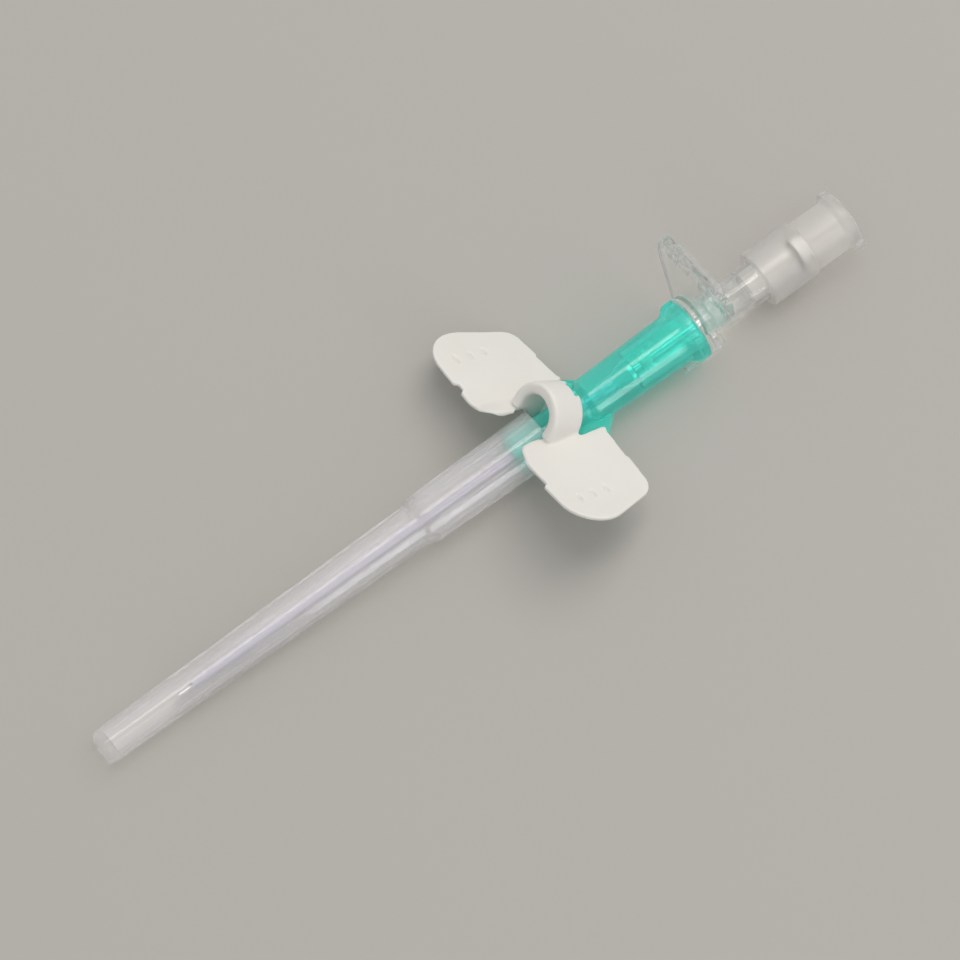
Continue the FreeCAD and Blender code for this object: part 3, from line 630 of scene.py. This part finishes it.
def new_piece(
    name: str,
    mesh: bpy.types.Mesh,
    body: str,
    finish: bpy.types.Material,
) -> bpy.types.Object:
    """Adds a piece of the device that was made here.

    Args:
        name: The piece's name.
        mesh: Its mesh, in the table's frame.
        body: The body that it moves with.
        finish: Its material.

    Returns:
        The piece.
    """
    mesh.materials.clear()
    mesh.materials.append(finish)
    mesh.polygons.foreach_set("use_smooth", [True] * len(mesh.polygons))
    piece = bpy.data.objects.new(name, mesh)
    bpy.context.collection.objects.link(piece)
    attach(piece, body)
    return piece


@dataclass
class NeedleCover:
    """The frosted tube over the needle."""

    finish: ClearMoulding = ClearMoulding(
        name="frosted_cover",
        colour=shade(251, 250, 249),
        deep_colour=shade(246, 245, 246),
        transmission=0.7,
        roughness=0.025,
        grain=Grain.FROSTED,
        flow=300.0,
        streak=0.3,
        ior=1.22,
        squarely_through=0.52,
        shadow_pass=0.74,
        coat=0.85,
        coat_roughness=0.05,
    )

    def build(self) -> str:
        """Dresses the cover.

        Returns:
            What was made, for the log.
        """
        dress("needle_cover", self.finish.build())
        return "needle cover"


@dataclass
class CatheterHub:
    """The green hub with its clear catheter and steel eyelet."""

    hub_finish: ClearMoulding = ClearMoulding(
        name="green_hub",
        colour=shade(128, 250, 238),
        deep_colour=shade(100, 246, 231),
        transmission=0.76,
        roughness=0.07,
        grain=Grain.SATIN,
        flow=300.0,
        streak=0.5,
        ior=1.28,
        coat=0.4,
        coat_roughness=0.14,
        shadow_tint=(0.84, 0.96, 0.94),
        shadow_pass=0.82,
    )
    tube_finish: ClearMoulding = ClearMoulding(
        name="catheter_tube",
        colour=shade(220, 216, 228),
        deep_colour=shade(208, 204, 217),
        transmission=0.55,
        roughness=0.15,
        grain=Grain.POLISHED,
        ior=1.35,
    )
    eyelet_finish: DrawnSteel = DrawnSteel("eyelet_steel_bright", (0.75, 0.74, 0.72), 0.22)

    def build(self) -> str:
        """Dresses the hub and what sits in it.

        Returns:
            What was made, for the log.
        """
        dress("catheter_hub", self.hub_finish.build())
        dress("catheter_tube", self.tube_finish.build())
        dress("catheter_eyelet", self.eyelet_finish.build())
        return "catheter hub, tube and eyelet"


@dataclass
class WingClip:
    """The soft white clip with its two wings."""

    finish: SoftWhite = SoftWhite(
        name="soft_white_clip",
        colour=shade(233, 230, 223),
        shaded=shade(228, 225, 217),
        roughness=0.42,
    )
    lie: Lie = Lie()
    weld: float = 0.002 * MM
    voxel: float = 0.11 * MM
    pull: float = 0.5
    soft_rounds: int = 3
    root_rounds: int = 32
    root_near: float = 1.9 * MM
    root_far: float = 5.2 * MM
    root_blend: float = 1.0 * MM
    twist_line: float = -22.2 * MM
    chord: float = 4.1 * MM
    curl_lobe: float = 1.9 * MM
    curl_tip: float = 0.25 * MM
    curl_start: float = 1.8 * MM
    curl_full: float = 2.6 * MM
    curl_fade: float = 5.0 * MM
    curl_ahead: float = 1.5
    lobe_reach: float = 0.45 * MM
    lobe_lift: float = 0.2 * MM
    lobe_start: float = 2.2 * MM
    lobe_full: float = 3.6 * MM
    lobe_fade: float = 7.4 * MM
    lobe_end: float = 7.9 * MM
    lobe_corner: float = 4.93 * MM
    corner_width: float = 0.6 * MM
    corner_held: float = 0.5
    dent_spots: tuple[float, ...] = (-23.95 * MM, -22.24 * MM, -20.54 * MM)
    dent_out: float = 12.25 * MM
    dent_width: float = 0.24 * MM
    dent_length: float = 0.5 * MM
    dent_depth: float = 0.14 * MM
    dent_facing: float = 0.3

    def remeshed(self) -> bpy.types.Mesh:
        """Rebuilds the clip's solid as one even skin.

        Returns:
            The skin.
        """
        solid = frame["nodes"]["wing_clip"]
        blank = bpy.data.objects.new("clip_blank", solid.data.copy())
        bpy.context.collection.objects.link(blank)
        weld = blank.modifiers.new("weld", "WELD")
        weld.merge_threshold = self.weld
        even = blank.modifiers.new("even", "REMESH")
        even.mode = "VOXEL"
        even.voxel_size = self.voxel
        graph = bpy.context.evaluated_depsgraph_get()
        mesh = bpy.data.meshes.new_from_object(blank.evaluated_get(graph))
        bpy.data.objects.remove(blank)
        return mesh

    def soften(self, mesh: bpy.types.Mesh) -> None:
        """Rounds the edges, most of all where the wings run into the collar.

        Args:
            mesh: The clip's skin.
        """
        relax(mesh, np.full(len(mesh.vertices), self.pull), self.soft_rounds)
        away = np.abs(self.lie.to_device(read_spots(mesh))[:, 1])
        root = rise(away, self.root_near - self.root_blend, self.root_near)
        root *= 1 - rise(away, self.root_far - self.root_blend, self.root_far)
        relax(mesh, self.pull * root, self.root_rounds)

    def curl(self, mesh: bpy.types.Mesh) -> None:
        """Curls the front of the far wing up a little and rounds out its lobe, as the soft plastic does.

        Args:
            mesh: The clip's skin.
        """
        spots = self.lie.to_device(read_spots(mesh))
        ahead = np.clip((self.twist_line - spots[:, 0]) / self.chord, 0.0, self.curl_ahead)
        outwards = rise(spots[:, 1], self.curl_start, self.curl_full)
        fading = rise(spots[:, 1], self.curl_full, self.curl_fade)
        height = self.curl_lobe + (self.curl_tip - self.curl_lobe) * fading
        spots[:, 2] += height * outwards * ahead
        lobe = rise(spots[:, 1], self.lobe_start, self.lobe_full)
        lobe *= 1 - rise(spots[:, 1], self.lobe_fade, self.lobe_end)
        lobe *= 1 - self.corner_held * np.exp(-(((spots[:, 1] - self.lobe_corner) / self.corner_width) ** 2))
        spots[:, 0] -= self.lobe_reach * lobe * ahead
        spots[:, 2] += self.lobe_lift * lobe * ahead
        write_spots(mesh, self.lie.to_table(spots))

    def deepen_dents(self, mesh: bpy.types.Mesh) -> None:
        """Presses the dimples of the wings in again where the softening has filled them.

        Args:
            mesh: The clip's skin.
        """
        facing = np.empty(len(mesh.vertices) * 3)
        mesh.vertex_normals.foreach_get("vector", facing)
        upper = self.lie.to_device(facing.reshape(-1, 3))[:, 2] > self.dent_facing
        spots = self.lie.to_device(read_spots(mesh))
        across = (np.abs(spots[:, 1]) - self.dent_out) / self.dent_length
        for place in self.dent_spots:
            along = (spots[:, 0] - place) / self.dent_width
            spots[:, 2] -= self.dent_depth * np.exp(-(along**2) - across**2) * upper
        write_spots(mesh, self.lie.to_table(spots))

    def build(self) -> str:
        """Makes the clip's softened skin and dresses it.

        Returns:
            What was made, for the log.
        """
        mesh = self.remeshed()
        self.soften(mesh)
        self.deepen_dents(mesh)
        self.curl(mesh)
        skin = new_piece("wing_clip_skin", mesh, "hub_unit", self.finish.build())
        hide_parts("wing_clip")
        return f"wing clip, {len(mesh.polygons)} faces"


@dataclass
class NeedleUnit:
    """The needle in its clear hub."""

    hub_finish: ClearMoulding = ClearMoulding(
        name="clear_needle_hub",
        colour=shade(255, 255, 254),
        deep_colour=shade(253, 254, 253),
        transmission=0.96,
        roughness=0.008,
        grain=Grain.POLISHED,
        ior=1.45,
        squarely_through=0.38,
        edge_round=0.03,
        coat=0.6,
        coat_roughness=0.03,
    )
    needle_finish: DrawnSteel = DrawnSteel("drawn_needle_steel", (0.72, 0.71, 0.69), 0.2)
    bead_finish: ClearMoulding = ClearMoulding(
        name="cured_adhesive",
        colour=shade(252, 252, 246),
        deep_colour=shade(226, 232, 224),
        transmission=0.5,
        roughness=0.12,
        grain=Grain.FROSTED,
        flow=1.0,
    )
    lie: Lie = Lie()
    bead_back: float = -6.0 * MM
    bead_front: float = -7.4 * MM
    bead_bore: float = 0.47 * MM
    bead_radius: float = 1.3 * MM
    bead_nose: float = 2.2
    bead_lumps: float = 0.44
    lumps_round: float = 2.0
    lumps_along: float = 4.0
    bead_rings: int = 14
    bead_spokes: int = 36

    def bead_mesh(self) -> bpy.types.Mesh:
        """The lumpy ring of adhesive round the needle, in front of its hub.

        Returns:
            The mesh.
        """
        rows = []
        for ring in range(self.bead_rings + 1):
            part = ring / self.bead_rings
            along = self.bead_back + (self.bead_front - self.bead_back) * part
            wall = (self.bead_radius - self.bead_bore) * math.sqrt(max(1 - part**self.bead_nose, 0.0))
            for spoke in range(self.bead_spokes):
                turn = math.tau * spoke / self.bead_spokes
                spot = Vector((math.cos(turn), math.sin(turn), 0.0)) * self.lumps_round
                spot.z = part * self.lumps_along
                out = self.bead_bore + wall * (1 + self.bead_lumps * noise.noise(spot))
                rows.append((along, out * math.cos(turn), out * math.sin(turn)))
        for along in (self.bead_front, self.bead_back):
            for spoke in range(self.bead_spokes):
                turn = math.tau * spoke / self.bead_spokes
                rows.append((along, self.bead_bore * math.cos(turn), self.bead_bore * math.sin(turn)))
        bands = self.bead_rings + 3
        faces = []
        for band in range(bands):
            for spoke in range(self.bead_spokes):
                after = (spoke + 1) % self.bead_spokes
                low = band * self.bead_spokes
                high = (band + 1) % bands * self.bead_spokes
                faces.append((low + spoke, low + after, high + after, high + spoke))
        mesh = bpy.data.meshes.new("adhesive_bead")
        mesh.from_pydata(self.lie.to_table(np.array(rows)).tolist(), [], faces)
        mesh.validate()
        return mesh

    def build(self) -> str:
        """Dresses the needle and its hub, and adds the adhesive that holds them together.

        Returns:
            What was made, for the log.
        """
        dress("needle_hub", self.hub_finish.build())
        dress("needle", self.needle_finish.build())
        glue = self.bead_finish.build()
        new_piece("adhesive_bead", self.bead_mesh(), "needle_unit", glue)
        return "needle, needle hub and adhesive bead"


@dataclass
class VentPlug:
    """The milky plug with its filter."""

    plug_finish: ClearMoulding = ClearMoulding(
        name="milky_plug",
        colour=shade(240, 238, 234),
        deep_colour=shade(232, 230, 226),
        transmission=0.6,
        roughness=0.4,
        grain=Grain.FROSTED,
        flow=6.0,
        ior=1.22,
        squarely_through=0.5,
        shadow_pass=0.76,
        subsurface=0.7,
        spread=1.2 * MM,
        coat=0.5,
        coat_roughness=0.16,
    )
    # The second colour is the painted shade that darkens the filter's pits.
    filter_finish: PorousFibre = PorousFibre("pressed_fibre", shade(246, 244, 240), shade(226, 224, 220))

    def build(self) -> str:
        """Dresses the plug and its filter.

        Returns:
            What was made, for the log.
        """
        dress("vent_plug", self.plug_finish.build())
        dress("vent_filter", self.filter_finish.build())
        return "vent plug and filter"


@dataclass(frozen=True)
class Eye:
    """Where the camera stands, and so which way is up, right and back in the picture."""

    azimuth: float = -30.505
    elevation: float = 68.379
    roll: float = -6.465
    distance: float = 600 * MM
    target: tuple[float, float, float] = (-30.50 * MM, -0.34 * MM, 0.0)
    lens: float = 196.77
    sensor: float = 36.0
    nearest: float = 10 * MM

    def axes(self) -> tuple[Vector, Vector, Vector]:
        """The picture's right and up, and the way back to the camera.

        Returns:
            Three unit vectors.
        """
        turn = math.radians(self.azimuth)
        climb = math.radians(self.elevation)
        lean = math.radians(self.roll)
        back = Vector((math.sin(turn) * math.cos(climb), -math.cos(turn) * math.cos(climb), math.sin(climb)))
        level = Vector((math.cos(turn), math.sin(turn), 0.0))
        upright = back.cross(level)
        right = level * math.cos(lean) + upright * math.sin(lean)
        up = upright * math.cos(lean) - level * math.sin(lean)
        return right, up, back

    def build(self) -> bpy.types.Object:
        """Makes the scene's camera.

        Returns:
            The camera.
        """
        right, up, back = self.axes()
        data = bpy.data.cameras.new("camera")
        data.lens = self.lens
        data.sensor_width = self.sensor
        data.clip_start = self.nearest
        camera = bpy.data.objects.new("camera", data)
        place = Vector(self.target) + back * self.distance
        turned = Matrix((right, up, back)).transposed().to_4x4()
        camera.matrix_world = Matrix.Translation(place) @ turned
        bpy.context.collection.objects.link(camera)
        bpy.context.scene.camera = camera
        return camera


@dataclass(frozen=True)
class Lamp:
    """A soft box over the table.

    Its share is the part of a plain level of light that it gives to the table.
    """

    name: str
    off_view: float
    clock: float
    share: float
    width: float
    height: float
    colour: Colour = (1.0, 1.0, 1.0)
    distance: float = 0.8
    least_drop: float = 0.2

    def build(self, eye: Eye) -> bpy.types.Object:
        """Hangs the lamp.

        Args:
            eye: The camera's place, from which the lamp's direction is counted.

        Returns:
            The lamp.
        """
        right, up, back = eye.axes()
        tilt = math.radians(self.off_view)
        hour = math.radians(self.clock)
        side = right * math.sin(hour) + up * math.cos(hour)
        way = back * math.cos(tilt) + side * math.sin(tilt)
        data = bpy.data.lights.new(self.name, "AREA")
        data.shape = "RECTANGLE"
        data.size = self.width
        data.size_y = self.height
        data.color = self.colour
        data.energy = self.share * math.pi**2 * self.distance**2 / max(way.z, self.least_drop)
        lamp = bpy.data.objects.new(self.name, data)
        lamp.location = Vector(eye.target) + way * self.distance
        lamp.rotation_euler = way.to_track_quat("Z", "Y").to_euler()
        bpy.context.collection.objects.link(lamp)
        return lamp


@dataclass
class Studio:
    """The table, the lamps, the sky and the camera."""

    table_height: float = cad_box[0][2]
    table_reach: float = 2.0
    clearance: float = 0.01 * MM
    sky: float = 0.555
    sky_colour: Colour = (0.97, 0.985, 1.03)
    light_paths: int = 24
    table_finish: TableTop = TableTop("warm_grey_board", shade(182, 179, 172))
    eye: Eye = Eye()
    lamps: tuple[Lamp, ...] = (
        Lamp(
            name="soft_box",
            off_view=48.0,
            clock=24.0,
            share=0.3,
            width=0.75,
            height=0.75,
            colour=(1.02, 1.0, 0.96),
            distance=1.3,
        ),
        Lamp(
            name="overhead",
            off_view=27.0,
            clock=0.0,
            share=0.12,
            width=0.34,
            height=0.34,
            colour=(1.05, 0.99, 0.94),
            distance=1.3,
        ),
        Lamp(
            name="side_strip",
            off_view=62.0,
            clock=130.0,
            share=0.03,
            width=0.1,
            height=0.5,
            colour=(0.95, 0.94, 1.0),
        ),
    )

    def build_table(self) -> bpy.types.Object:
        """Lays the table under the cannula.

        Returns:
            The table.
        """
        reach = self.table_reach
        height = self.table_height - self.clearance
        mesh = bpy.data.meshes.new("table")
        corners = ((-reach, -reach), (reach, -reach), (reach, reach), (-reach, reach))
        mesh.from_pydata([(*corner, height) for corner in corners], [], [(0, 1, 2, 3)])
        table = bpy.data.objects.new("table", mesh)
        mesh.materials.append(self.table_finish.build())
        bpy.context.collection.objects.link(table)
        return table

    def build_sky(self) -> None:
        """Gives the world its even light, and the table's own colour where the camera sees past it."""
        world = bpy.data.worlds.new("studio_sky")
        world.use_nodes = True
        bpy.context.scene.world = world
        shader = Shader(world.node_tree)
        seen = shader.node("LightPath", output="Is Camera Ray")
        light = shader.node("Background", inputs={"Color": self.sky_colour, "Strength": self.sky})
        wall = shader.node("Background", inputs={"Color": self.table_finish.colour, "Strength": 1.0})
        mixed = shader.node("MixShader", inputs={0: seen, 1: light, 2: wall})
        shader.close(mixed, "World")

    def build(self) -> str:
        """Sets up everything that isn't the cannula.

        Returns:
            What was made, for the log.
        """
        self.build_table()
        self.build_sky()
        for lamp in self.lamps:
            lamp.build(self.eye)
        self.eye.build()
        scene = bpy.context.scene
        scene.view_settings.view_transform = "Standard"
        for depth in ("max_bounces", "glossy_bounces", "transmission_bounces", "transparent_max_bounces"):
            setattr(scene.cycles, depth, self.light_paths)
        return "table, sky, lamps and camera"


def main() -> None:
    """Builds the cannula piece by piece, and then the studio round it."""
    logging.basicConfig(level=logging.INFO, format="%(message)s")
    for part in (NeedleCover(), CatheterHub(), WingClip(), NeedleUnit(), VentPlug(), Studio()):
        log.info("built: %s", part.build())


if __name__ == "__main__":
    main()
